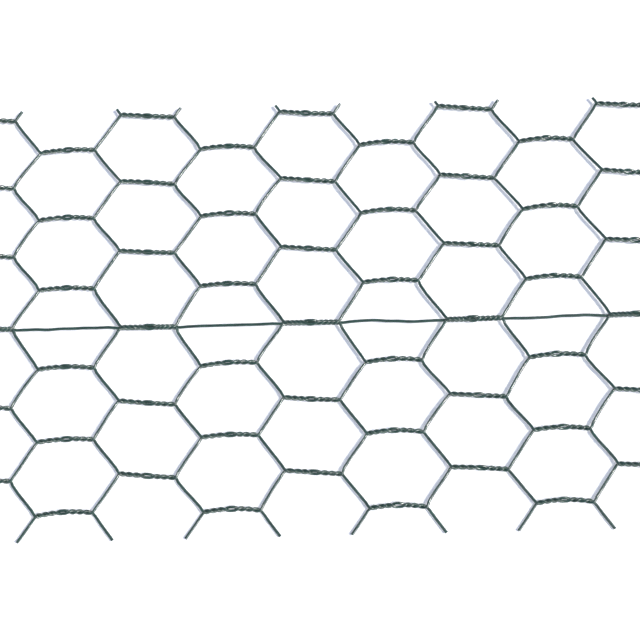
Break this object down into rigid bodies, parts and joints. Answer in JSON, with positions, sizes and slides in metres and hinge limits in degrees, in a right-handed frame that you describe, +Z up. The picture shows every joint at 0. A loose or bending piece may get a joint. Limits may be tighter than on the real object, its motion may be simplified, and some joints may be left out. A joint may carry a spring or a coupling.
{
  "type": "piece of hexagonal wire netting",
  "caption": "Flat cut piece of hexagonal wire netting: green coated wires joined by reverse twists, with a straight line wire laid in; for fences, cages and plant guards.",
  "frame": {"origin": "middle of the piece in plan, on the surface it lies on", "axes": "+X along the netting, the way its twists and its line wire run; +Y across the netting, to the edge with the short snipped ends; +Z up from the surface"},
  "size_m": [0.2564, 0.1524, 0.0027],
  "materials": {
    "coated_wire": "dark bluish-green plastic coat over steel wire, glossy"
  },
  "bodies": {
    "root": {"mesh_wire_01": "coated_wire", "mesh_wire_02": "coated_wire", "mesh_wire_03": "coated_wire", "mesh_wire_04": "coated_wire", "mesh_wire_05": "coated_wire", "mesh_wire_06": "coated_wire", "mesh_wire_07": "coated_wire", "mesh_wire_08": "coated_wire", "mesh_wire_09": "coated_wire", "mesh_wire_10": "coated_wire", "mesh_wire_11": "coated_wire", "top_edge_wires": "coated_wire", "bottom_edge_wires": "coated_wire", "line_wire": "coated_wire"}
  },
  "joints": []
}
